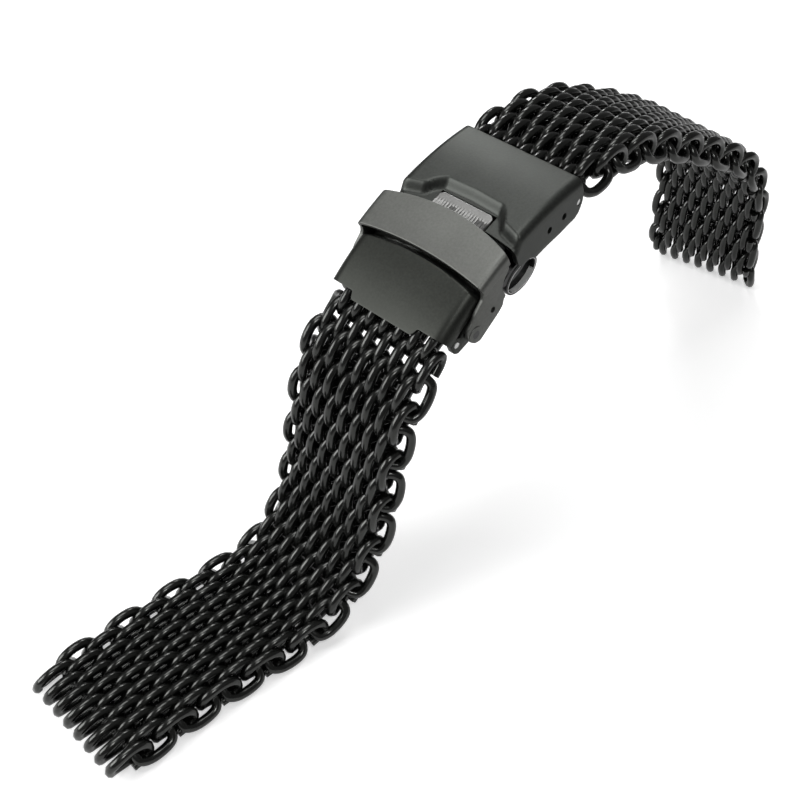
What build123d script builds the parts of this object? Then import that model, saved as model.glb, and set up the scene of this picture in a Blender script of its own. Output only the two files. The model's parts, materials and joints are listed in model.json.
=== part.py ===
from build123d import *
import math
import os

os.makedirs("parts", exist_ok=True)

# Mesh: every cross row is one flattened coil of wire hooked into the next row
PITCH = 2.24            # spacing of the coil's turns across the strap
WIRE = 0.70             # side of the modelled wire: the square that fits inside the round wire
ROW_STEP = 3.42         # spacing of the rows along the strap
HALF_LEN = 2.35         # half length of a turn, centre line
TOP = 1.3              # height of a top leg's ends over the strap's middle plane
BOTTOM = 1.30           # depth of the bottom legs
BULGE = 0.47            # how far the cut side tips bow outward, in turns
RETURN = 0.1            # where the side link's return leg stops, from the row's middle
TURNS = 7
LOWER_ROWS = 22
UPPER_ROWS = 24
ROW_FLEX = 18.0         # how far one row bends against the next, either way

# Rest shape, degrees, as knots along each half of the strap
LOWER_PITCH = [(0, 0.0), (7, 0.0), (11, 56.4), (14, 79.2), (17, 76.0), (21, 29.1)]
LOWER_YAW = [(0, -3.5), (7, -10.9), (14, -4.4), (21, 0.0)]
UPPER_PITCH = [(0, 16.1), (3, -9.9), (6, -25.3), (12, -32.3), (16, -55.7), (20, -89.0), (23, -60.0)]
UPPER_YAW = [(0, 0.0), (12, -5.5), (23, 9.3)]

# Clasp: plates curved about one axis across the strap
ARC_X = 24.68
ARC_Z = -27.92
ARC_R = 40.2
SHEET = 0.8
BAR_D = 1.3
BAR_TIP_D = 0.8
HOLE_D = 0.95
PIN_D = 1.1
RUN = 0.05              # running clearance on a radius
LOWER_BAR = (-40.0, 3.17)
LOCK_PIVOT = (-36.39, 4.32)
UPPER_BAR = (-2.3, 3.13)
MORE_HOLES = [(-6.9, 3.42), (-11.4, 3.45)]
UPPER_BAR_SEAT = 1.2    # from the upper bar to its row's centre
LOWER_BAR_SEAT = 0.974
HINGE_A = (1.2, 6.75)
HINGE_B = (-20.8, 5.95)
INNER_HALF = (TURNS - 0.5) / 2 * PITCH + WIRE / 2
COVER_WALL = 0.8
COVER_GAP = 0.92        # from the clasp's own row to the cover's wall
COVER_W = 2 * (INNER_HALF + COVER_GAP + COVER_WALL)
CHEEK = 0.75
CHEEK_GAP = 0.82
END_W = 2 * (INNER_HALF + CHEEK_GAP + CHEEK)
ARM = 0.57
ARM_GAP = 0.15
LOCK_W = END_W + 2 * (ARM_GAP + ARM)
TONGUE_W = 10.0
TONGUE = (-42.5, -40.0)     # degrees round the arc
FLOOR = (-37.0, -33.6)
FLOOR_TOP = 5.0
FLOOR_T = 0.6
HOOK = (-36.6, -33.9)       # the lower blade's short upper leg
TAB_W = 8.0
NOTCH_GAP = 0.4
LOCK_RISE = 0.7
BLADE_W = 14.0
BLADE_T = 0.6
MID_DEPTH = 5.75
LOW_DEPTH = 7.15
KNUCKLE_R = 1.0
ROLL_LEN = 5.6
ROLL_H = 1.9
ROLL_W = 2.0
ROLL_IN = BLADE_W / 2 - 0.7             # the eyes overlap the blade's sides
ROLL_OUT = ROLL_IN + ROLL_W
LUG_W = 1.2
LUG_GAP = 0.2
LUG_IN = ROLL_IN - LUG_GAP - LUG_W      # the cover's lugs stand between the eyes


def knot(table, i):
    for (i0, v0), (i1, v1) in zip(table, table[1:]):
        if i <= i1:
            return v0 + (v1 - v0) * (i - i0) / (i1 - i0)
    return table[-1][1]


def at(deg, depth):
    a = math.radians(deg)
    r = ARC_R - depth
    return (ARC_X + r * math.sin(a), ARC_Z + r * math.cos(a))


def at3(deg, depth):
    x, z = at(deg, depth)
    return (x, 0, z)


# Wire rows

def ring(x, y, z, up, mitre):
    h = WIRE / 2
    side = math.copysign(1, x) * mitre
    return [(x + side * r, y + d, z + up * r) for d, r in ((-h, -h), (h, -h), (h, h), (-h, h))]


def flat(pts):
    a, b, c, d = [Vector(*p) for p in pts]
    return abs((b - a).cross(c - a).dot(d - a)) < 1e-7


def polygon(pts):
    return Face(Wire.make_polygon([Vector(*p) for p in pts], close=True))


def wire_body(rings):
    faces = [polygon(rings[0]), polygon(rings[-1][::-1])]
    for r0, r1 in zip(rings, rings[1:]):
        for i in range(4):
            j = (i + 1) % 4
            quad = [r0[i], r0[j], r1[j], r1[i]]
            if flat(quad):
                faces.append(polygon(quad))
            else:
                faces.append(polygon(quad[:3]))
                faces.append(polygon([quad[0], quad[2], quad[3]]))
    return Solid(Shell(faces))


def top_leg(y):
    a = HALF_LEN
    return [ring(-a, y, TOP, 1, 1), ring(a, y, TOP, 1, 1)]


def bottom_leg(y):
    a = HALF_LEN
    return [ring(a, y, -BOTTOM, -1, 1), ring(-a, y, -BOTTOM, -1, 1)]


def full_row():
    """Even row: a cut tip bows out at one side, the other side ends in a closed link."""
    p = PITCH
    half = (TURNS + 0.5) / 2 * p
    rings = [ring(HALF_LEN * 0.8, half + BULGE * p, -BOTTOM + 0.25, -1, 0)]
    rings.append(ring(0.2, half + BULGE * p, -BOTTOM, -1, 0))
    rings += bottom_leg(half)[1:]
    for k in range(TURNS + 1):
        y = half - p / 2 - k * p
        rings += top_leg(y)
        if k < TURNS:
            rings += bottom_leg(y - p / 2)
    rings.append(bottom_leg(-half)[0])
    rings.append(ring(RETURN, -half, -BOTTOM, -1, 0))
    return wire_body(rings)


def end_row():
    """Row inside the clasp: narrower, with both ends cut short."""
    p = PITCH
    half = (TURNS - 0.5) / 2 * p
    rings = []
    for k in range(TURNS):
        y = half - k * p
        rings += top_leg(y)
        rings += bottom_leg(y - p / 2)
    rings[0] = ring(-HALF_LEN * 0.8, half, TOP + 0.06, 1, 0)
    rings[-1] = ring(-HALF_LEN * 0.8, -half, -BOTTOM, -1, 0)
    return wire_body(rings)


def heading(pitch, yaw):
    a = math.radians(pitch)
    b = math.radians(yaw)
    t = Vector(math.cos(a) * math.cos(b), math.cos(a) * math.sin(b), math.sin(a))
    e = Vector(-math.sin(b), math.cos(b), 0)
    return t, e, t.cross(e)


def lower_frames():
    turns = [heading(knot(LOWER_PITCH, i), knot(LOWER_YAW, i)) for i in range(LOWER_ROWS)]
    spots = [Vector(*at3(*LOWER_BAR)) - turns[-1][0] * LOWER_BAR_SEAT]
    for i in range(LOWER_ROWS - 1, 0, -1):
        spots.insert(0, spots[0] - (turns[i][0] + turns[i - 1][0]) * (ROW_STEP / 2))
    return list(zip(spots, turns))


def upper_frames():
    turns = [heading(knot(UPPER_PITCH, i), knot(UPPER_YAW, i)) for i in range(UPPER_ROWS)]
    spots = [Vector(*at3(*UPPER_BAR)) + turns[0][0] * UPPER_BAR_SEAT]
    for i in range(1, UPPER_ROWS):
        spots.append(spots[-1] + (turns[i - 1][0] + turns[i][0]) * (ROW_STEP / 2))
    return list(zip(spots, turns))


def placed(body, frame, flip):
    spot, (t, e, n) = frame
    where = Location(Plane(origin=spot, x_dir=t, z_dir=n))
    if flip:
        return body.moved(where * Rotation(0, 0, 180))
    return body.moved(where)


# Clasp sheet work

def arc(a0, a1, depth):
    return ThreePointArc(at3(a0, depth), at3((a0 + a1) / 2, depth), at3(a1, depth))


def sector(a0, a1, d0, d1, y0, y1):
    lines = [arc(a0, a1, d0), Line(at3(a1, d0), at3(a1, d1)), arc(a1, a0, d1), Line(at3(a0, d1), at3(a0, d0))]
    face = make_face(lines)
    return Pos(0, (y0 + y1) / 2, 0) * extrude(face, amount=(y1 - y0) / 2, dir=(0, 1, 0), both=True)


def side_plate(corners, y0, y1):
    """Plate in the strap's long plane, corners as angle and depth."""
    face = polygon([at3(a, d) for a, d in corners])
    return Pos(0, (y0 + y1) / 2, 0) * extrude(face, amount=(y1 - y0) / 2, dir=(0, 1, 0), both=True)


def mirror_y(body):
    return body + mirror(body, about=Plane.XZ)


def cross_pin(spot, dia, y0, y1):
    x, z = at(*spot)
    return Pos(x, (y0 + y1) / 2, z) * Rotation(90, 0, 0) * Cylinder(dia / 2, y1 - y0)


def plan(deg, edges):
    """Prism over a plan outline drawn at one angle of the clasp's arc."""
    a = math.radians(deg)
    base = Plane(origin=at3(deg, 0), x_dir=(math.cos(a), 0, -math.sin(a)), z_dir=(math.sin(a), 0, math.cos(a)))
    return extrude(base * make_face(edges), amount=9, both=True)


def bowed(s0, sag0, s1, sag1, w):
    return [
        ThreePointArc((s0, -w), (s0 + sag0, 0), (s0, w)),
        Line((s0, w), (s1, w)),
        ThreePointArc((s1, w), (s1 + sag1, 0), (s1, -w)),
        Line((s1, -w), (s0, -w)),
    ]


def end_piece():
    w = END_W / 2
    plate = sector(-45, -28, 0, SHEET, -w, w) & plan(-36.25, bowed(-3.36, 0.01, 3.36, 1.15, w))
    tongue = sector(*TONGUE, 0, SHEET, -TONGUE_W / 2, TONGUE_W / 2)
    cheek = [(-40.7, 0.3), (-41.8, 3.7), (-38.9, 4.7), (-36.4, 5.6), (-29.6, 5.6), (-28.6, 4.2), (-31.4, 0.3)]
    sides = mirror_y(side_plate(cheek, w - CHEEK, w))
    floor = sector(*FLOOR, FLOOR_TOP, FLOOR_TOP + FLOOR_T, -w + 0.2, w - 0.2)
    body = plate + tongue + sides + floor
    body -= cross_pin(LOWER_BAR, HOLE_D, -w - 1, w + 1)
    return body - cross_pin(LOCK_PIVOT, PIN_D, -w - 1, w + 1)


def lower_blade():
    h = BLADE_W / 2
    d = LOW_DEPTH
    top = FLOOR_TOP + FLOOR_T
    body = sector(HOOK[1] - 0.9, 0.0, d, d + BLADE_T, -h, h)
    body += sector(HOOK[1] - 0.9, HOOK[1], top, d + BLADE_T, -h, h)
    body += sector(*HOOK, top, top + BLADE_T, -h, h)
    eyes = cross_pin(HINGE_A, KNUCKLE_R * 2, 3.7, h)
    body += mirror_y(eyes)
    body -= cross_pin(HINGE_A, KNUCKLE_R * 2 + 0.5, -3.5, 3.5)
    return body - cross_pin(HINGE_A, PIN_D, -h - 1, h + 1)


def rolled_eye():
    """Flattened eye round the cover's pin, drawn in the strap's long plane."""
    x, z = at(*HINGE_B)
    a = math.radians(HINGE_B[0])
    along = Vector(math.cos(a), 0, -math.sin(a)) * (ROLL_LEN / 2)
    up = Vector(math.sin(a), 0, math.cos(a)) * (ROLL_H / 2)
    mid = Vector(x, 0, z)
    return make_face([ThreePointArc(mid - along, mid + up, mid + along), ThreePointArc(mid + along, mid - up, mid - along)])


def middle_blade():
    h = BLADE_W / 2
    body = sector(-19.3, 0.4, MID_DEPTH, MID_DEPTH + BLADE_T, -h, h)
    body -= mirror_y(cross_pin(HINGE_A, KNUCKLE_R * 2 + 0.5, 3.5, h + 1))
    body += cross_pin(HINGE_A, KNUCKLE_R * 2, -3.3, 3.3)
    roll = rolled_eye()
    body += mirror_y(Pos(0, ROLL_OUT - ROLL_W / 2, 0) * extrude(roll, amount=ROLL_W / 2, dir=(0, 1, 0), both=True))
    body -= mirror_y(sector(-26, -16.5, 0, 9, LUG_IN - LUG_GAP, ROLL_IN))
    body -= cross_pin(HINGE_A, PIN_D + 2 * RUN, -h - 1, h + 1)
    return body - cross_pin(HINGE_B, PIN_D, -ROLL_OUT - 1, ROLL_OUT + 1)


def shoulder(gap):
    pts = [(8.5, -12), (8.5, 12), (0.5, 12), (0.5, 9.0), (1.5, 5.9), (2.8, 5.2), (3.6, 4.2)]
    pts += [(s, -y) for s, y in reversed(pts[2:])]
    return Pos(gap, 0) * make_face(Polyline(*pts, close=True))


def cover():
    w = COVER_W / 2
    near = -20.9
    a = math.radians(near)
    base = Plane(origin=at3(near, 0), x_dir=(math.cos(a), 0, -math.sin(a)), z_dir=(math.sin(a), 0, math.cos(a)))
    body = sector(-22.0, -1.64, 0, 2.0, -w, w) & (plan(near, bowed(0, 0.8, 30, 0.01, w)))
    high = sector(-26, -13.4, -1, 1.2, -12, 12) - extrude(base * shoulder(0), amount=9, both=True)
    under = sector(-13.4, 0, SHEET, 3, -12, 12)
    under += sector(-26, -13.39, SHEET, 3, -12, 12) & extrude(base * shoulder(0.8), amount=9, both=True)
    body = body - high - under
    body -= plan(near, bowed(-2, 0.01, 2.4, 0.01, TAB_W / 2 + NOTCH_GAP))
    wall = [(-20.9, 1.3), (-20.7, 4.6), (-17.2, 4.75), (-15.6, 5.8), (-8.4, 5.6), (-1.9, 5.1), (-1.0, 3.4)]
    wall += [(-1.2, 1.0), (-2.1, 0.3), (-5, 0.3), (-9, 0.3), (-13, 0.3), (-17, 0.3), (-18.5, 1.3)]
    body += mirror_y(side_plate(wall, w - COVER_WALL, w))
    lug = side_plate([(-20.3, 1.4), (-22.4, 5.2), (-21.9, 6.6), (-20.0, 6.8), (-17.2, 1.4)], LUG_IN, LUG_IN + LUG_W)
    body += mirror_y(lug)
    for spot in [UPPER_BAR] + MORE_HOLES:
        body -= cross_pin(spot, HOLE_D, -w - 1, w + 1)
    return body - cross_pin(HINGE_B, PIN_D + 2 * RUN, -LUG_IN - LUG_W - 0.1, LUG_IN + LUG_W + 0.1)


def flip_lock():
    w = LOCK_W / 2
    body = sector(-34, -16, -LOCK_RISE, SHEET - LOCK_RISE, -w, w)
    body &= plan(-26.85, bowed(-2.6, 0.95, 2.55, 1.8, w))
    body += sector(-23.5, -18.2, -0.35, 0.1, -TAB_W / 2, TAB_W / 2)
    arm = [(-30.3, -0.3), (-35.5, 3.1), (-36.6, 5.55), (-27.88, 5.46), (-23.6, -0.3), (-27, -0.45)]
    plate = side_plate(arm, w - ARM, w) + cross_pin(LOCK_PIVOT, 2.6, w - ARM, w)
    body += mirror_y(plate)
    body -= cross_pin((-30.61, 4.47), 0.9, -w - 1, w + 1)
    return body - cross_pin(LOCK_PIVOT, PIN_D + 2 * RUN, -w - 1, w + 1)


def spring_bar(spot, clear):
    body = cross_pin(spot, BAR_D, -clear + 0.1, clear - 0.1)
    return body + cross_pin(spot, BAR_TIP_D, -clear - 0.7, clear + 0.7)


def lock_rivets():
    w = LOCK_W / 2
    one = cross_pin(LOCK_PIVOT, PIN_D, END_W / 2 - CHEEK, w + 0.1)
    return Compound([one, mirror(one, about=Plane.XZ)])


lower = lower_frames()
upper = upper_frames()
even = full_row()
short = end_row()
nodes = {}
for i, frame in enumerate(lower):
    body = short if i == LOWER_ROWS - 1 else even
    nodes[f"mesh_lower_{i:02d}"] = placed(body, frame, i % 2 == 1)
for i, frame in enumerate(upper):
    body = short if i == 0 else even
    nodes[f"mesh_upper_{i:02d}"] = placed(body, frame, i % 2 == 1)
nodes["end_piece"] = end_piece()
nodes["lower_blade"] = lower_blade()
nodes["middle_blade"] = middle_blade()
nodes["cover"] = cover()
nodes["flip_lock"] = flip_lock()
nodes["lower_spring_bar"] = spring_bar(LOWER_BAR, END_W / 2 - CHEEK)
nodes["upper_spring_bar"] = spring_bar(UPPER_BAR, COVER_W / 2 - COVER_WALL)
nodes["blade_hinge_pin"] = cross_pin(HINGE_A, PIN_D, -BLADE_W / 2, BLADE_W / 2)
nodes["cover_hinge_pin"] = cross_pin(HINGE_B, PIN_D, -ROLL_OUT, ROLL_OUT)
nodes["lock_rivets"] = lock_rivets()

# Origin: under the middle of the whole, on the table
boxes = [body.bounding_box() for body in nodes.values()]
low = [min(getattr(b.min, k) for b in boxes) for k in "XYZ"]
high = [max(getattr(b.max, k) for b in boxes) for k in "XYZ"]
shift = Vector(-(low[0] + high[0]) / 2, -(low[1] + high[1]) / 2, -low[2])
for name, body in nodes.items():
    export_step(body.moved(Location(shift)), f"parts/{name}.step")


def show(label, spot, axis):
    p = Vector(*spot) + shift
    print("HINGE", label, *[round(v, 5) for v in (p.X, p.Y, p.Z, axis.X, axis.Y, axis.Z)])


across = Vector(0, 1, 0)
show("lower_bar", at3(*LOWER_BAR), across)
show("upper_bar", at3(*UPPER_BAR), across)
show("lock", at3(*LOCK_PIVOT), across)
show("blades", at3(*HINGE_A), across)
show("cover", at3(*HINGE_B), across)
for label, frames in (("lower", lower), ("upper", upper)):
    for i in range(len(frames) - 1):
        spot = (frames[i][0] + frames[i + 1][0]) * 0.5
        axis = (frames[i][1][1] + frames[i + 1][1][1]).normalized()
        show(f"{label}_{i:02d}", (spot.X, spot.Y, spot.Z), axis)
for i, (spot, turn) in enumerate(lower):
    print("ROW lower", i, round(knot(LOWER_PITCH, i), 3), *[round(v, 4) for v in (spot + shift)])
for i, (spot, turn) in enumerate(upper):
    print("ROW upper", i, round(knot(UPPER_PITCH, i), 3), *[round(v, 4) for v in (spot + shift)])
print("SIZE", *[round(h - l, 3) for l, h in zip(low, high)], "SHIFT", *[round(v, 4) for v in shift])
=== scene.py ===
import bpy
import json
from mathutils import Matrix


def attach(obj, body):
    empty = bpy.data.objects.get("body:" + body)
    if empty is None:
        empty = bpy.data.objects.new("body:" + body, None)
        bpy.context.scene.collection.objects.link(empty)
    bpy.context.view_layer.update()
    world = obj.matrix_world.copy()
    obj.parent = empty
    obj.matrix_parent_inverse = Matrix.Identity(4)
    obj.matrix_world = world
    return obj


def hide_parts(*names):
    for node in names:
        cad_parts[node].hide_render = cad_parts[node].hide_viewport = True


bl_info = {
    "name": "Mesh bracelet with fold-over clasp",
    "version": (1, 0, 0),
    "blender": (4, 5, 0),
    "location": "3D View > Sidebar > Bracelet",
    "description": "Builds the wire mesh strap and its clasp on the packed frame",
    "category": "Object",
}

import json
import math

import bpy
from mathutils import Matrix, Vector

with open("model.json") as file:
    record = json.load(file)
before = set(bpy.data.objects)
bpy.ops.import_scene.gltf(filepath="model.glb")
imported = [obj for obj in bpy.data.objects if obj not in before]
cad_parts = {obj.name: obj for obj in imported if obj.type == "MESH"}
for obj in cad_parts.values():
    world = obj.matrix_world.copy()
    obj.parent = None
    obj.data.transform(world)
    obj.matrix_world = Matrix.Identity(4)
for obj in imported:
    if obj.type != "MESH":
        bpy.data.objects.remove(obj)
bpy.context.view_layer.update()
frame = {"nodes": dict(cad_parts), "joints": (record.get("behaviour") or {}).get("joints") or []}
MM = 0.001

# Rest shape of the two strap halves: row number and angle in degrees
LOWER_PITCH = ((0, 0.0), (7, 0.0), (11, 56.4), (14, 79.2), (17, 76.0), (21, 29.1))
LOWER_YAW = ((0, -3.5), (7, -10.9), (14, -4.4), (21, 0.0))
UPPER_PITCH = (
    (0, 16.1), (3, -9.9), (6, -25.3), (12, -32.3), (16, -55.7), (20, -89.0), (23, -60.0),
)
UPPER_YAW = ((0, 0.0), (12, -5.5), (23, 9.3))
LOWER_ROWS = 22
UPPER_ROWS = 24

# The clasp's arc in the strap's long plane: lengths in mm, places as angle in degrees and depth
ARC_CENTRE = (24.68, -27.92)
ARC_RADIUS = 40.2
ARC_MM = math.radians(1) * ARC_RADIUS   # length of one degree
LOWER_BAR = (-40.0, 3.17)
UPPER_BAR = (-2.3, 3.13)
LOWER_BAR_SEAT = 0.974                  # from the bar to the middle of its own row
UPPER_BAR_SEAT = 1.2


def knot(table, i):
    for (i0, v0), (i1, v1) in zip(table, table[1:]):
        if i <= i1:
            return v0 + (v1 - v0) * (i - i0) / (i1 - i0)
    return table[-1][1]


def on_arc(degrees, depth, y=0.0):
    """Point of the clasp's own curve, in millimetres before the frame's offset."""
    a = math.radians(degrees)
    r = ARC_RADIUS - depth
    return Vector((ARC_CENTRE[0] + r * math.sin(a), y, ARC_CENTRE[1] + r * math.cos(a)))


bar_joint = next(j for j in frame["joints"] if j["name"] == "lower_on_bar")
OFFSET = Vector(bar_joint["pos_m"]) / MM - on_arc(*LOWER_BAR)


def heading(pitch, yaw):
    a, b = math.radians(pitch), math.radians(yaw)
    along = Vector((math.cos(a) * math.cos(b), math.cos(a) * math.sin(b), math.sin(a)))
    across = Vector((-math.sin(b), math.cos(b), 0.0))
    return along, across, along.cross(across)


def lower_places(step):
    turns = [heading(knot(LOWER_PITCH, i), knot(LOWER_YAW, i)) for i in range(LOWER_ROWS)]
    spots = [on_arc(*LOWER_BAR) - turns[-1][0] * LOWER_BAR_SEAT]
    for i in range(LOWER_ROWS - 1, 0, -1):
        spots.insert(0, spots[0] - (turns[i][0] + turns[i - 1][0]) * (step / 2))
    return [place(s, t) for s, t in zip(spots, turns)]


def upper_places(step):
    turns = [heading(knot(UPPER_PITCH, i), knot(UPPER_YAW, i)) for i in range(UPPER_ROWS)]
    spots = [on_arc(*UPPER_BAR) + turns[0][0] * UPPER_BAR_SEAT]
    for i in range(1, UPPER_ROWS):
        spots.append(spots[-1] + (turns[i - 1][0] + turns[i][0]) * (step / 2))
    return [place(s, t) for s, t in zip(spots, turns)]


def place(spot, turn):
    """Matrix from a row's own millimetres to the frame's metres."""
    m = Matrix.Identity(4)
    for col, axis in enumerate(turn):
        m.col[col] = (*axis, 0.0)
    return Matrix.Scale(MM, 4) @ Matrix.Translation(spot + OFFSET) @ m


# Mesh and object helpers

def only(obj):
    """Makes one piece the selected and the active one."""
    bpy.ops.object.select_all(action="DESELECT")
    obj.select_set(True)
    bpy.context.view_layer.objects.active = obj


def settled(obj, name):
    """Applies what is live on a piece and leaves its place in its mesh."""
    only(obj)
    for mod in list(obj.modifiers):
        bpy.ops.object.modifier_apply(modifier=mod.name)
    bpy.ops.object.transform_apply(location=True, rotation=True, scale=True)
    obj.name = name
    obj.data.name = name
    return obj


def break_edges(obj, width, degrees):
    """Rounds every edge that is sharper than an angle."""
    mod = obj.modifiers.new("Broken edges", "BEVEL")
    mod.width = width * MM
    mod.segments = 2
    mod.limit_method = "ANGLE"
    mod.angle_limit = math.radians(degrees)


def cut_by(obj, cutter):
    """Takes the cutter's shape out of a piece and deletes the cutter."""
    mod = obj.modifiers.new("Cut", "BOOLEAN")
    mod.object = cutter
    mod.solver = "EXACT"
    only(obj)
    bpy.ops.object.modifier_apply(modifier=mod.name)
    bpy.data.objects.remove(cutter)


def joined(name, parts):
    bpy.ops.object.select_all(action="DESELECT")
    for part in parts:
        part.select_set(True)
    bpy.context.view_layer.objects.active = parts[0]
    bpy.ops.object.join()
    return settled(parts[0], name)


def smooth(obj, degrees=35):
    only(obj)
    bpy.ops.object.shade_smooth_by_angle(angle=math.radians(degrees))
    return obj


def eased(x):
    x = min(1.0, max(0.0, x))
    return x * x * (3 - 2 * x)


def take_material(obj, mat):
    obj.data.materials.clear()
    obj.data.materials.append(mat)


def carry(obj, body):
    """Fixes a visible piece to a moving body."""
    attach(obj, body)


def stand_for(obj, node, body, mat):
    """Lets a piece take the place of one solid of the frame."""
    take_material(obj, mat)
    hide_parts(node)
    carry(obj, body)


# Wire rows: u along the strap, y across it and height, in a row's own millimetres

FULL_LEGS = 8               # top legs in a full row
SHORT_LEGS = 7              # top legs in the row on a spring bar
TURN_STEPS = 12             # straight lengths in half a turn
ENDS_SHARE = 0.35           # of a sideways step that goes by u, the rest by the angle
WIRE_FACETS = 2             # resolution of the round section
BAR_NEIGHBOUR = LOWER_ROWS - 2
BAR_NEIGHBOUR_SCALE = (0.94, 1, 0.76, 1)    # flatter, to clear the end piece when it turns


def half_width(legs, s):
    return (legs - 0.5) / 2 * s.turn


def half_turn(y, s, top, enter, leave, first=0, last=TURN_STEPS):
    """Half a turn of the flattened coil: over the top towards +u, or underneath back towards -u.

    enter and leave are the sideways steps, in mm, of its two ends."""
    a, power = s.half_length, 2 / s.squareness
    height = s.top if top else -s.bottom
    out = []
    for k in range(first, last):
        angle = math.pi * k / TURN_STEPS
        c, w = math.cos(angle), math.sin(angle)
        u = math.copysign(a * abs(c) ** power, -c if top else c)
        by_place = eased((abs(u) / a - 0.4) / 0.6)
        by_angle = eased((abs(1 - 2 * k / TURN_STEPS) - 0.5) / 0.5)
        step = ENDS_SHARE * by_place + (1 - ENDS_SHARE) * by_angle
        side = enter if k < TURN_STEPS / 2 else leave
        out.append((u, y + side * step, height * abs(w) ** power))
    return out


def flowing(points, steps=4):
    """Smooth line through a few points, each a bend of the wire's free end."""
    line = [Vector(p) for p in points]
    line = [2 * line[0] - line[1]] + line + [2 * line[-1] - line[-2]]
    out = []
    for p0, p1, p2, p3 in zip(line, line[1:], line[2:], line[3:]):
        slope = p2 - p0
        bend = 2 * p0 - 5 * p1 + 4 * p2 - p3
        swing = 3 * p1 - p0 - 3 * p2 + p3
        for k in range(steps):
            t = k / steps
            out.append((2 * p1 + slope * t + bend * t * t + swing * t ** 3) / 2)
    return [tuple(p) for p in out] + [tuple(line[-2])]


def edge_link(s):
    """Rounded link at the strap's edge, from its weld on the first top leg round to that leg."""
    p, a, b = s.turn, s.half_length, s.bottom
    half = half_width(FULL_LEGS, s)
    tip = half + s.link_bulge * p
    return flowing((
        (a - 0.3, half - p / 2 + 0.1, 0.85),
        (a - 0.1, half - 0.62, 0.42),
        (a - 0.08, half + 0.05, -0.1),
        (a - 0.3, half + 0.5, -0.6),
        (a * 0.5, tip, -b + 0.25),
        (0.0, tip + 0.06, -b + 0.1),
        (-a * 0.5, tip - 0.05, -b + 0.1),
        (-a * 0.84, half + 0.45, -b + 0.36),
        (-a, half - 0.1, -0.5),
        (-a, half - p / 4, 0.05),
        half_turn(half - p / 2, s, True, p / 4, -p / 4)[1],
    ))


def row_path(s):
    """Centre line of a full row, from its edge link to the wire's other end."""
    p = s.turn
    half, step = half_width(FULL_LEGS, s), p / 4
    path = edge_link(s)
    for k in range(FULL_LEGS):
        y = half - p / 2 - k * p
        more = k < FULL_LEGS - 1
        path += half_turn(y, s, True, step, -step if more else 0, 0 if k else 2)
        if more:
            path += half_turn(y - p / 2, s, False, step, -step)
    return path + half_turn(-half, s, False, 0, 0, 0, 7)


def short_path(s):
    """Centre line of the row on a spring bar, one turn narrower and without a link."""
    p = s.turn
    half, step = half_width(SHORT_LEGS, s), p / 4
    path = []
    for k in range(SHORT_LEGS):
        y = half - k * p
        last = TURN_STEPS if k < SHORT_LEGS - 1 else TURN_STEPS - 2
        path += half_turn(y, s, True, step, -step, 0 if k else 2)
        path += half_turn(y - p / 2, s, False, step, -step, 0, last)
    return path


def wire_from(path, s, name):
    """Round wire along a path, as a mesh in the row's own millimetres."""
    curve = bpy.data.curves.new(name, "CURVE")
    curve.dimensions = "3D"
    line = curve.splines.new("POLY")
    line.points.add(len(path) - 1)
    for point, co in zip(line.points, path):
        point.co = (*co, 1.0)
    curve.bevel_depth = s.wire / 2
    curve.bevel_resolution = WIRE_FACETS
    curve.use_fill_caps = True
    obj = bpy.data.objects.new(name, curve)
    bpy.context.scene.collection.objects.link(obj)
    only(obj)
    bpy.ops.object.convert(target="MESH")
    obj = bpy.context.view_layer.objects.active
    for poly in obj.data.polygons:
        poly.use_smooth = True
    return obj


# Materials

CLOUD_SCALE = 160.0
GRAIN_SCALE = 3200.0
GRAIN_DEPTH = 0.00003
TINT_SPREAD = 0.12
ROUGH_SPREAD = 0.06


def noise(nodes, links, where, scale, detail):
    node = nodes.new("ShaderNodeTexNoise")
    node.inputs["Scale"].default_value = scale
    node.inputs["Detail"].default_value = detail
    links.new(where.outputs["Object"], node.inputs["Vector"])
    return node


def coated_steel(name, colour, rough, grain=0.0, coat=0.0, metal=0.9):
    """Coated metal with a faint cloud in its colour; grain gives it a blasted surface."""
    mat = bpy.data.materials.new(name)
    mat.use_nodes = True
    nodes, links = mat.node_tree.nodes, mat.node_tree.links
    shader = nodes["Principled BSDF"]
    shader.inputs["Metallic"].default_value = metal
    shader.inputs["Coat Weight"].default_value = coat
    shader.inputs["Coat Roughness"].default_value = 0.2
    where = nodes.new("ShaderNodeTexCoord")
    cloud = noise(nodes, links, where, CLOUD_SCALE, 6.0)
    fine = noise(nodes, links, where, GRAIN_SCALE, 4.0)
    tint = nodes.new("ShaderNodeValToRGB")
    dark, pale = tint.color_ramp.elements
    dark.position, pale.position = 0.35, 0.65
    dark.color = (*[c * (1 - TINT_SPREAD) for c in colour], 1)
    pale.color = (*[min(1, c * (1 + TINT_SPREAD)) for c in colour], 1)
    links.new(tint.outputs["Color"], shader.inputs["Base Color"])
    blend = nodes.new("ShaderNodeMix")
    blend.inputs["Factor"].default_value = 0.6 if grain else 0.0
    links.new(cloud.outputs["Fac"], blend.inputs["A"])
    links.new(fine.outputs["Fac"], blend.inputs["B"])
    links.new(blend.outputs["Result"], tint.inputs["Fac"])
    span = nodes.new("ShaderNodeMapRange")
    span.inputs["To Min"].default_value = max(0.05, rough - ROUGH_SPREAD)
    span.inputs["To Max"].default_value = rough + ROUGH_SPREAD
    links.new(fine.outputs["Fac"], span.inputs["Value"])
    links.new(span.outputs["Result"], shader.inputs["Roughness"])
    if grain:
        bump = nodes.new("ShaderNodeBump")
        bump.inputs["Strength"].default_value = grain
        bump.inputs["Distance"].default_value = GRAIN_DEPTH
        links.new(fine.outputs["Fac"], bump.inputs["Height"])
        links.new(bump.outputs["Normal"], shader.inputs["Normal"])
    return mat


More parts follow.
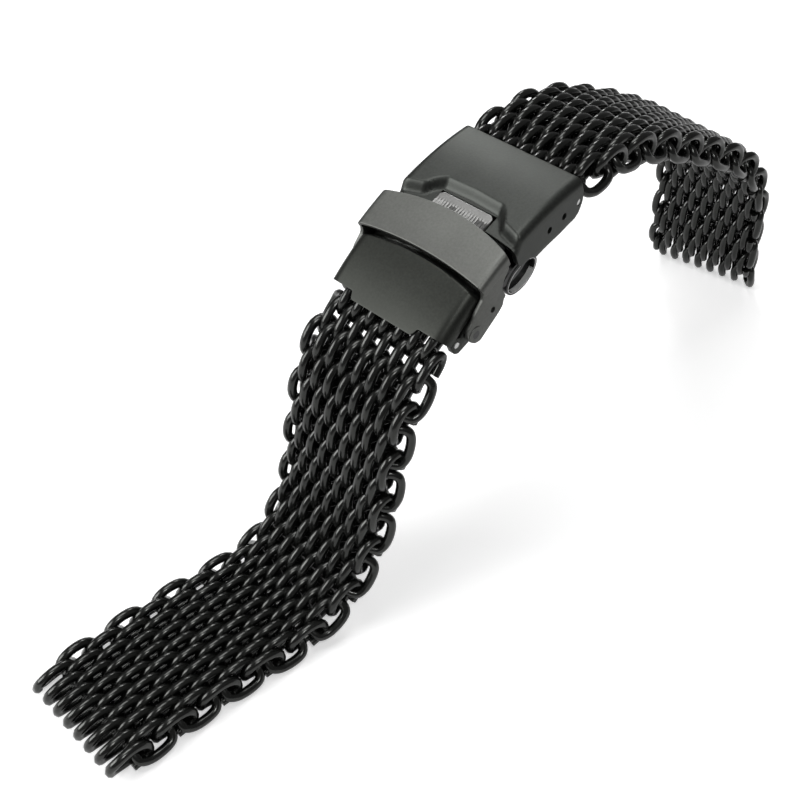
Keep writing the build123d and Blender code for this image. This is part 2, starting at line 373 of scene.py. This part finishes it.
def white_ground():
    """Pale floor that takes shadows and, to the camera alone, also glows a little."""
    mat = bpy.data.materials.new("pale_ground")
    mat.use_nodes = True
    nodes, links = mat.node_tree.nodes, mat.node_tree.links
    shader = nodes["Principled BSDF"]
    shader.inputs["Base Color"].default_value = (0.9, 0.9, 0.9, 1)
    shader.inputs["Roughness"].default_value = 0.6
    glow = nodes.new("ShaderNodeEmission")
    glow.inputs["Strength"].default_value = 0.45
    blank = nodes.new("ShaderNodeEmission")
    blank.inputs["Strength"].default_value = 0.0
    rays = nodes.new("ShaderNodeLightPath")
    pick = nodes.new("ShaderNodeMixShader")
    both = nodes.new("ShaderNodeAddShader")
    links.new(rays.outputs["Is Camera Ray"], pick.inputs["Fac"])
    links.new(blank.outputs["Emission"], pick.inputs[1])
    links.new(glow.outputs["Emission"], pick.inputs[2])
    links.new(shader.outputs["BSDF"], both.inputs[0])
    links.new(pick.outputs["Shader"], both.inputs[1])
    links.new(both.outputs["Shader"], nodes["Material Output"].inputs["Surface"])
    return mat


# Settings that the panel shows

def size_setting(name, description, default):
    return bpy.props.FloatProperty(name=name, description=description, default=default)


def colour_setting(name, piece, default):
    return bpy.props.FloatVectorProperty(
        name=name, description="Colour of the " + piece, subtype="COLOR", size=3, default=default,
    )


class MeshSizes(bpy.types.PropertyGroup):
    turn: size_setting("Turn spacing", "Spacing of the coil's turns across the strap, in mm", 2.24)
    wire: size_setting("Wire", "Diameter of the round wire, in mm", 1.26)
    row_step: size_setting("Row step", "Spacing of the rows along the strap, in mm", 3.42)
    half_length: size_setting("Half length", "Half length of one turn's centre line, in mm", 2.62)
    top: size_setting("Top", "Height of a top leg's crest, in mm", 2.0)
    squareness: size_setting("Squareness", "Exponent of the coil's flattened section", 2.15)
    link_bulge: size_setting("Link bulge", "How far an edge link stands out, in turns", 0.32)
    bottom: size_setting("Bottom", "Depth of the bottom legs, in mm", 1.4)


class FinishColours(bpy.types.PropertyGroup):
    wire_colour: colour_setting("Wire", "coated wire", (0.032, 0.033, 0.031))
    sheet_colour: colour_setting("Cover", "cover", (0.052, 0.055, 0.051))
    end_colour: colour_setting("End plate", "end plate", (0.036, 0.038, 0.034))
    tab_colour: colour_setting("Tab", "lifting tab", (0.2, 0.2, 0.195))
    lock_colour: colour_setting("Lock", "flip lock", (0.13, 0.133, 0.125))
    # Eye liner colour: near white, a painted highlight for the light caught on the inner roll of
    # each eye
    eye_highlight_colour: colour_setting("Eye highlight", "middle blade's painted highlight inside the eyes", (0.8, 0.8, 0.79))
    bar_colour: colour_setting("Spring bars", "bare spring bars", (0.75, 0.75, 0.74))
    inner_colour: colour_setting("Blades", "blades and pins", (0.06, 0.06, 0.06))
    # Eye core colour: near black, painted shade for the shaded hollow inside each eye
    eye_shade_colour: colour_setting("Eye shade", "painted shade inside the eyes", (0.005, 0.005, 0.005))


class BRACELET_OT_rows(bpy.types.Operator):
    """Winds every cross row of the mesh strap"""
    bl_idname = "bracelet.rows"
    bl_label = "Mesh rows"

    def execute(self, context):
        s, c = context.scene.bracelet_mesh, context.scene.bracelet_finish
        mat = coated_steel("wire_black", c.wire_colour, 0.22, coat=0.4)
        full = wire_from(row_path(s), s, "row_full")
        short = wire_from(short_path(s), s, "row_short")
        turned = Matrix.Rotation(math.pi, 4, "Z")
        pressed_flat = Matrix.Diagonal(BAR_NEIGHBOUR_SCALE)
        halves = (
            ("lower", lower_places(s.row_step), LOWER_ROWS - 1),
            ("upper", upper_places(s.row_step), 0),
        )
        for half, places, on_bar in halves:
            for i, where in enumerate(places):
                source = short if i == on_bar else full
                name = f"wire_{half}_{i:02d}"
                obj = bpy.data.objects.new(name, source.data.copy())
                context.scene.collection.objects.link(obj)
                if half == "lower" and i == BAR_NEIGHBOUR:
                    obj.data.transform(pressed_flat)
                obj.data.transform(where @ turned if i % 2 else where)
                obj.data.name = name
                stand_for(obj, f"mesh_{half}_{i:02d}", f"row_{half}_{i:02d}", mat)
        for obj in (full, short):
            bpy.data.objects.remove(obj)
        return {"FINISHED"}


# Sheet pieces, drawn flat with millimetres round the arc as X and minus the depth as Z

TOP_STEPS = 56              # grid steps across a sheet's top,
WALL_STEPS = 7              # down each side wall
CORNER_STEPS = 6            # and round each bend
LEAST_LIP = 0.3             # a side wall never gets shorter than this


def between(table, x):
    for (x0, v0), (x1, v1) in zip(table, table[1:]):
        if x <= x1:
            return v0 + (v1 - v0) * max(0.0, x - x0) / (x1 - x0)
    return table[-1][1]


def wrapped(obj):
    """Lays a flat-drawn piece on the clasp's arc, in the frame's metres."""
    for v in obj.data.vertices:
        v.co = (on_arc(v.co.x / ARC_MM, -v.co.z, v.co.y) + OFFSET) * MM
    return obj


def sheet_section():
    """Stations across a bent sheet: side, corner angle, share of the wall, share of the top."""
    side = [(1 - k / WALL_STEPS, 90.0) for k in range(WALL_STEPS)]
    side += [(0.0, 90.0 - 90.0 * k / CORNER_STEPS) for k in range(CORNER_STEPS)]
    left = [(-1, math.radians(phi), f, 0.0) for f, phi in side]
    right = [(1, phi, f, u) for s, phi, f, u in reversed(left)]
    middle = [(0, 0.0, 0.0, 2 * k / TOP_STEPS - 1) for k in range(TOP_STEPS + 1)]
    return left + middle + right


def pressed(name, along, half, radius, start, stop, top, drop, wall):
    """Sheet bent down at both long edges: a grid whose rows follow the bent section.

    start and stop give its ends in degrees, top and drop the depths of its face and walls."""
    stations = sheet_section()
    across = len(stations) - 1
    bpy.ops.object.select_all(action="DESELECT")
    bpy.ops.mesh.primitive_grid_add(x_subdivisions=along, y_subdivisions=across, size=2.0)
    obj = bpy.context.view_layer.objects.active
    obj.name = name
    for v in obj.data.vertices:
        t = (v.co.x + 1) / 2
        side, phi, f, u = stations[round((v.co.y + 1) / 2 * across)]
        y = u * (half - radius) if side == 0 else side * (half - radius + radius * math.sin(phi))
        first, last = start(y, f), stop(y, f)
        deg = first + (last - first) * t
        depth = top(deg, y)
        if side:
            depth += radius * (1 - math.cos(phi))
            depth += f * max(LEAST_LIP, drop(deg) - depth)
        v.co = (deg * ARC_MM, y, -depth)
    wrapped(obj)
    mod = obj.modifiers.new("Thickness", "SOLIDIFY")
    mod.thickness = wall * MM
    mod.offset = -1.0
    break_edges(obj, 0.1, 55)
    return settled(obj, name)


def stamped(name, outline, y0, y1, soft=0.1, rim=0.0):
    """Flat plate cut to an outline of angles and depths; with a rim it is a hollow roll."""
    bpy.ops.object.select_all(action="DESELECT")
    bpy.ops.mesh.primitive_circle_add(vertices=len(outline), radius=1.0, fill_type="NGON")
    obj = bpy.context.view_layer.objects.active
    for v, (deg, depth) in zip(obj.data.vertices, outline):
        v.co = (deg * ARC_MM, y0, -depth)
    bpy.ops.object.mode_set(mode="EDIT")
    bpy.ops.mesh.select_all(action="SELECT")
    if rim:
        bpy.ops.mesh.inset(thickness=rim)
        bpy.ops.mesh.delete(type="FACE")
        bpy.ops.mesh.select_all(action="SELECT")
    bpy.ops.mesh.extrude_region_move(TRANSFORM_OT_translate={"value": (0, y1 - y0, 0)})
    bpy.ops.mesh.select_all(action="SELECT")
    bpy.ops.mesh.normals_make_consistent(inside=False)
    bpy.ops.object.mode_set(mode="OBJECT")
    wrapped(obj)
    if soft:
        break_edges(obj, soft, 50)
    return settled(obj, name)


def pairs(name, outline, y0, y1, soft=0.1, rim=0.0):
    """The same plate on the far side and the near side."""
    return [
        stamped(name + "_far", outline, y0, y1, soft, rim),
        stamped(name + "_near", outline, -y1, -y0, soft, rim),
    ]


def oval(spot, across, deep, count=24):
    """Oval outline: half lengths round the arc, in degrees, and down, in millimetres."""
    deg, depth = spot
    turn = [2 * math.pi * k / count for k in range(count)]
    return [(deg + across * math.cos(a), depth + deep * math.sin(a)) for a in turn]


def disc(spot, radius, count=24):
    return oval(spot, radius / ARC_MM, radius, count)


def shrunk(outline, middle, deg_share, depth_share):
    """Outline drawn in towards its middle."""
    return [
        (middle[0] + (deg - middle[0]) * deg_share, middle[1] + (depth - middle[1]) * depth_share)
        for deg, depth in outline
    ]


def rounded(corners, radius, steps=5):
    """Outline with each corner turned by a small radius, in angles and depths."""
    pts = [Vector((deg * ARC_MM, depth)) for deg, depth in corners]
    out = []
    for before, at, after in zip(pts[-1:] + pts[:-1], pts, pts[1:] + pts[:1]):
        a, b = (before - at), (after - at)
        reach = min(radius, a.length * 0.45, b.length * 0.45)
        p, q = at + a.normalized() * reach, at + b.normalized() * reach
        for k in range(steps + 1):
            t = k / steps
            spot = p * (1 - t) ** 2 + at * 2 * t * (1 - t) + q * t * t
            out.append((spot.x / ARC_MM, spot.y))
    return out


def drilled(obj, spots, diameter):
    """Cuts cross holes through all that a piece has in their way."""
    for spot in spots:
        cut_by(obj, stamped("drill", disc(spot, diameter / 2, 20), -12, 12, soft=0.0))
    return obj


# The clasp's outlines: angle in degrees round the arc, depth in millimetres. A span says from
# where to where across the strap a plate goes, in millimetres from its middle line
SHEET = 0.75
BAR_HOLE = 0.95             # diameter
COVER_NEAR = -20.9
COVER_FAR = -1.64
COVER_HALF = 9.35
COVER_STEP = 1.15           # how far the cover steps down at its shoulder
SHOULDER = ((0.0, 3.9), (4.2, 3.7), (5.2, 2.9), (6.1, 1.6), (9.0, 0.7), (9.4, 0.6))
COVER_DROP = (
    (-20.9, 3.7), (-20.4, 4.4), (-17.2, 4.75), (-15.9, 5.55), (-8.4, 5.6),
    (-3.4, 5.2), (-2.2, 4.7), (-1.5, 3.9), (-1.0, 2.9),
)
COVER_HOLES = (UPPER_BAR, (-6.9, 3.42), (-11.4, 3.45))
WINDOW = ((-24, -3), (-24, 4), (-16.5, 4), (-16.5, -3))
WINDOW_HALF = 4.28
LUG = ((-20.3, 1.4), (-22.3, 5.2), (-21.9, 6.6), (-20.0, 6.8), (-17.2, 1.4))
LUG_SPAN = (4.9, 6.1)

END_NEAR = -41.04
END_MIDDLE = -36.25
END_HALF = 9.2
END_REACH = 5.5             # degrees that the sheet goes on under the lock,
END_SUNK = 2.0              # and how deep it lies there
TONGUE_HALF = 5.3
TONGUE_OUT = 1.46
WEB = (
    (-39.2, 0.9), (-39.4, 3.4), (-38.6, 5.1), (-36.4, 5.8), (-29.6, 5.6), (-28.6, 4.2),
    (-31.4, 0.9),
)
WEB_SPAN = (7.7, 8.2)
EAR = (
    (-40.8, 2.4), (-41.7, 3.9), (-41.2, 4.7), (-38.8, 5.3), (-36.4, 5.8), (-29.6, 5.6),
    (-28.6, 4.2), (-31.0, 2.9), (-38.4, 3.2), (-39.0, 2.3),
)
EAR_SPAN = (8.15, 9.08)
FLOOR = ((-37.0, 5.0), (-37.0, 5.6), (-35.3, 5.6), (-33.6, 5.6), (-33.6, 5.0), (-35.3, 5.0))
FLOOR_HALF = 8.4

BAND_MIDDLE = -26.85
BAND_HALF = 9.92
BAND_SHEET = 0.57
BAND_RISE = 0.7
ARM = (
    (-30.4, 0.2), (-31.0, 1.3), (-33.8, 1.75), (-35.2, 2.35), (-37.2, 2.5), (-38.25, 3.9),
    (-37.9, 5.5), (-36.6, 6.3), (-30.3, 6.2), (-28.2, 5.9), (-27.5, 5.2), (-26.6, 5.0),
    (-26.9, 3.4), (-25.8, 2.4), (-23.9, 1.7), (-23.3, 0.2),
)
ARM_SPAN = (9.32, 9.86)
ARM_HOLE = (-30.61, 4.47)
PIVOT = (-36.39, 4.32)
BOSS_RADIUS = 1.25
BOSS_SPAN = (9.3, 10.0)
TAB_START = -24.2
TAB_STOP = -16.9
TAB_HALF = 4.2
TAB_CORNER = 0.8
RIB_STEP = 0.42
RIB_HEIGHT = 0.06

ROLL = (-19.4, 7.6)         # middle of the rolled eye
ROLL_ACROSS = 5.3
ROLL_DEEP = 2.2
EYE_SPAN = (6.9, 8.4)
EYE_WALL = 0.42
# The liner is a thin ring inside each eye, painted near white as a painted highlight
LINER_SPAN = (7.2, 8.45)
LINER_WALL = 0.07
# The core is a disc that closes each eye's hollow, painted near black as painted shade
CORE_SPAN = (6.9, 7.7)


def bow(y, half):
    return 1 - (y / half) ** 2


def cover_start(y, f):
    return COVER_NEAR + 0.8 * bow(y, COVER_HALF) / ARC_MM


def cover_stop(y, f):
    return COVER_FAR + 0.5 * min(1, f * 3)


def cover_top(deg, y):
    """The cover steps down along a flowing shoulder towards the lock."""
    line = COVER_NEAR + between(SHOULDER, abs(y)) / ARC_MM
    return COVER_STEP * (1 - eased((deg - line) * ARC_MM / 1.5 + 0.35))


def cover_drop(deg):
    return between(COVER_DROP, deg)


def end_start(y, f):
    """The end plate starts further out in its middle, as a tongue over the rows."""
    return END_NEAR - TONGUE_OUT * eased((TONGUE_HALF - abs(y)) / 0.5) * (1 - f)


def end_edge(y):
    """Bowed line where the end plate's face turns down under the lock."""
    return END_MIDDLE + (3.36 + 1.15 * bow(y, END_HALF)) / ARC_MM


def end_stop(y, f):
    return end_edge(y) + END_REACH


def end_top(deg, y):
    return END_SUNK * eased((deg - end_edge(y)) * ARC_MM / 1.3 + 0.25)


def end_drop(deg):
    return 2.1 + 2.7 * eased((deg + 33.0) / 2.0)


def band_start(y, f):
    return BAND_MIDDLE + (-2.6 + 0.95 * bow(y, BAND_HALF)) / ARC_MM


def band_stop(y, f):
    return BAND_MIDDLE + (2.55 + 1.8 * bow(y, BAND_HALF)) / ARC_MM


def tab_top(deg, y):
    """Fine ribs across the near half of the lifting tab."""
    rib = RIB_HEIGHT * math.cos(2 * math.pi * y / RIB_STEP)
    return 0.9 + rib * eased((-18.4 - deg) / 0.3)


def tab_stop(y, f):
    """Rounded outer corners of the lifting tab."""
    side = max(0.0, abs(y) - TAB_HALF + TAB_CORNER)
    bite = math.sqrt(max(0.0, TAB_CORNER * TAB_CORNER - side * side))
    return TAB_STOP - (TAB_CORNER - bite) / ARC_MM


class BRACELET_OT_cover(bpy.types.Operator):
    """Presses the cover with its shoulder, window, wall holes and inner lugs"""
    bl_idname = "bracelet.cover"
    bl_label = "Cover"

    def execute(self, context):
        c = context.scene.bracelet_finish
        mat = coated_steel("sheet_satin", c.sheet_colour, 0.42, grain=0.25)
        shell = pressed(
            "cover_sheet", 84, COVER_HALF, 1.0, cover_start, cover_stop,
            cover_top, cover_drop, SHEET,
        )
        window = rounded(WINDOW, 0.5)
        cut_by(shell, stamped("window", window, -WINDOW_HALF, WINDOW_HALF, soft=0.0))
        drilled(shell, COVER_HOLES, BAR_HOLE)
        obj = joined("cover_shell", [shell] + pairs("lug", rounded(LUG, 0.6), *LUG_SPAN))
        stand_for(smooth(obj), "cover", "cover_body", mat)
        return {"FINISHED"}


class BRACELET_OT_end_piece(bpy.types.Operator):
    """Presses the end plate with its tongue, turned-down lip, cheeks and floor"""
    bl_idname = "bracelet.end_piece"
    bl_label = "End piece"

    def execute(self, context):
        c = context.scene.bracelet_finish
        mat = coated_steel("end_satin", c.end_colour, 0.42, grain=0.25)
        parts = [pressed(
            "end_plate", 80, END_HALF, 1.5, end_start, end_stop, end_top, end_drop, SHEET,
        )]
        parts += pairs("web", rounded(WEB, 0.9), *WEB_SPAN)
        for cheek in pairs("cheek", rounded(EAR, 0.35), *EAR_SPAN):
            parts.append(drilled(cheek, (LOWER_BAR,), BAR_HOLE))
        parts.append(stamped("floor", FLOOR, -FLOOR_HALF, FLOOR_HALF))
        obj = joined("end_shell", parts)
        stand_for(smooth(obj), "end_piece", "clasp_base", mat)
        return {"FINISHED"}


class BRACELET_OT_flip_lock(bpy.types.Operator):
    """Bends the flip lock's bowed band, its two arms and the ribbed lifting tab"""
    bl_idname = "bracelet.flip_lock"
    bl_label = "Flip lock"

    def execute(self, context):
        c = context.scene.bracelet_finish
        parts = [pressed(
            "band", 36, BAND_HALF, 0.8, band_start, band_stop,
            lambda deg, y: -BAND_RISE, lambda deg: 1.1, BAND_SHEET,
        )]
        for arm in pairs("arm", rounded(ARM, 0.5), *ARM_SPAN, soft=0.08):
            parts.append(drilled(arm, (ARM_HOLE,), 0.9))
        parts += pairs("boss", disc(PIVOT, BOSS_RADIUS), *BOSS_SPAN, soft=0.15)
        mat = coated_steel("lock_satin", c.lock_colour, 0.48, grain=0.3)
        stand_for(smooth(joined("lock_band", parts)), "flip_lock", "lock_body", mat)
        tab = pressed(
            "lock_tab", 20, TAB_HALF, 0.15, lambda y, f: TAB_START, tab_stop,
            tab_top, lambda deg: 1.2, 0.3,
        )
        take_material(smooth(tab, 50), coated_steel("tab_bare", c.tab_colour, 0.38, grain=0.2))
        carry(tab, "lock_body")
        return {"FINISHED"}


class BRACELET_OT_blades(bpy.types.Operator):
    """Rolls the middle blade's open eyes, lines them with a painted highlight and fills them with
    a painted-shade core, and finishes the blades, bars and pins
    """
    bl_idname = "bracelet.blades"
    bl_label = "Blades and pins"

    def execute(self, context):
        c = context.scene.bracelet_finish
        inner = coated_steel("blade_satin", c.inner_colour, 0.35, grain=0.2)
        outside = oval(ROLL, ROLL_ACROSS, ROLL_DEEP, 48)
        eye = pairs("eye", outside, *EYE_SPAN, soft=0.06, rim=EYE_WALL)
        eyes = joined("blade_eyes", eye)
        take_material(smooth(eyes), inner)
        # The liners are thin rings painted near white: a painted highlight on the inner roll of
        # each eye
        inside = shrunk(outside, ROLL, 0.91, 0.82)
        liner = pairs("liner", inside, *LINER_SPAN, soft=0.0, rim=LINER_WALL)
        highlight_liners = joined("eye_liners_painted_highlight", liner)
        take_material(smooth(highlight_liners), coated_steel("eye_painted_highlight", c.eye_highlight_colour, 0.3, metal=0.3))
        # The cores close the eyes' hollows and are painted near black: painted shade for the dark
        # inside of each roll
        cores = joined("eye_cores_painted_shade", pairs("core", shrunk(outside, ROLL, 0.96, 0.96), *CORE_SPAN))
        take_material(cores, coated_steel("eye_painted_shade", c.eye_shade_colour, 0.6))
        for obj in (highlight_liners, cores, eyes):
            carry(obj, "middle_link")
        bright = coated_steel("bar_bright", c.bar_colour, 0.25, metal=0.5)
        for node in (
            "lower_blade", "middle_blade", "blade_hinge_pin", "cover_hinge_pin", "lock_rivets",
        ):
            take_material(frame["nodes"][node], inner)
        for node in ("lower_spring_bar", "upper_spring_bar"):
            take_material(frame["nodes"][node], bright)
        return {"FINISHED"}


# Floor, lamps and camera

FLOOR_SIZE = 3.0
FLOOR_HEIGHT = -0.0001
WORLD_LIGHT = 0.16
LAMP_TARGET = Vector((0, 0, 0.02))
LAMPS = (       # name, place and size in metres, power in watts
    ("key", (-0.15, -0.25, 0.45), 0.1, 0.55),
    ("back", (0.3, 0.28, 0.36), 0.1, 0.5),
    ("left", (-0.4, 0.28, 0.26), 0.34, 2.2),
    ("top", (0.0, 0.1, 0.5), 0.25, 0.9),
)
SENSOR = 36.0
FOCAL_PIXELS = 1175.54
PICTURE_PIXELS = 800.0
CAMERA_SPOT = Vector((-79.1, -72.9, 93.0))
CAMERA_TILT = 44.85
CAMERA_TURN = 42.29


def aim(obj, direction):
    obj.rotation_euler = direction.to_track_quat("-Z", "Y").to_euler()


class BRACELET_OT_stage(bpy.types.Operator):
    """Sets the floor, the lamps and the camera"""
    bl_idname = "bracelet.stage"
    bl_label = "Stage"

    def execute(self, context):
        scene = context.scene
        bpy.ops.mesh.primitive_plane_add(size=FLOOR_SIZE, location=(0, 0, FLOOR_HEIGHT))
        floor = context.view_layer.objects.active
        floor.name = "floor"
        take_material(floor, white_ground())
        scene.world = self.studio()
        for name, spot, size, power in LAMPS:
            data = bpy.data.lights.new(name, "AREA")
            data.size = size
            data.energy = power
            lamp = bpy.data.objects.new(name, data)
            scene.collection.objects.link(lamp)
            lamp.location = spot
            aim(lamp, LAMP_TARGET - Vector(spot))
        data = bpy.data.cameras.new("photo_view")
        data.sensor_width = SENSOR
        data.lens = SENSOR * FOCAL_PIXELS / PICTURE_PIXELS
        cam = bpy.data.objects.new("photo_view", data)
        scene.collection.objects.link(cam)
        cam.location = (CAMERA_SPOT + OFFSET) * MM
        tilt, turn = math.radians(CAMERA_TILT), math.radians(CAMERA_TURN)
        level = math.cos(tilt)
        aim(cam, Vector((level * math.cos(turn), level * math.sin(turn), -math.sin(tilt))))
        scene.camera = cam
        scene.view_settings.view_transform = "Standard"
        return {"FINISHED"}

    def studio(self):
        """World that is white to the camera and a soft light to everything else."""
        world = bpy.data.worlds.new("studio")
        world.use_nodes = True
        nodes, links = world.node_tree.nodes, world.node_tree.links
        back = nodes["Background"]
        back.inputs["Color"].default_value = (1, 1, 1, 1)
        back.inputs["Strength"].default_value = WORLD_LIGHT
        seen = nodes.new("ShaderNodeBackground")
        seen.inputs["Strength"].default_value = 1.0
        rays = nodes.new("ShaderNodeLightPath")
        pick = nodes.new("ShaderNodeMixShader")
        links.new(rays.outputs["Is Camera Ray"], pick.inputs["Fac"])
        links.new(back.outputs["Background"], pick.inputs[1])
        links.new(seen.outputs["Background"], pick.inputs[2])
        links.new(pick.outputs["Shader"], nodes["World Output"].inputs["Surface"])
        return world


class BRACELET_PT_panel(bpy.types.Panel):
    bl_idname = "BRACELET_PT_panel"
    bl_label = "Bracelet"
    bl_space_type = "VIEW_3D"
    bl_region_type = "UI"
    bl_category = "Bracelet"

    def draw(self, context):
        for group in (context.scene.bracelet_mesh, context.scene.bracelet_finish):
            for prop in group.bl_rna.properties:
                if prop.identifier not in ("rna_type", "name"):
                    self.layout.prop(group, prop.identifier)
        for step in STEPS:
            self.layout.operator(step.bl_idname)


STEPS = (
    BRACELET_OT_rows, BRACELET_OT_cover, BRACELET_OT_end_piece, BRACELET_OT_flip_lock,
    BRACELET_OT_blades, BRACELET_OT_stage,
)
CLASSES = (MeshSizes, FinishColours) + STEPS + (BRACELET_PT_panel,)


def register():
    for cls in CLASSES:
        bpy.utils.register_class(cls)
    bpy.types.Scene.bracelet_mesh = bpy.props.PointerProperty(type=MeshSizes)
    bpy.types.Scene.bracelet_finish = bpy.props.PointerProperty(type=FinishColours)


def unregister():
    del bpy.types.Scene.bracelet_finish
    del bpy.types.Scene.bracelet_mesh
    for cls in reversed(CLASSES):
        bpy.utils.unregister_class(cls)


def main():
    register()
    bpy.ops.bracelet.rows()
    bpy.ops.bracelet.cover()
    bpy.ops.bracelet.end_piece()
    bpy.ops.bracelet.flip_lock()
    bpy.ops.bracelet.blades()
    bpy.ops.bracelet.stage()


if __name__ == "__main__":
    main()
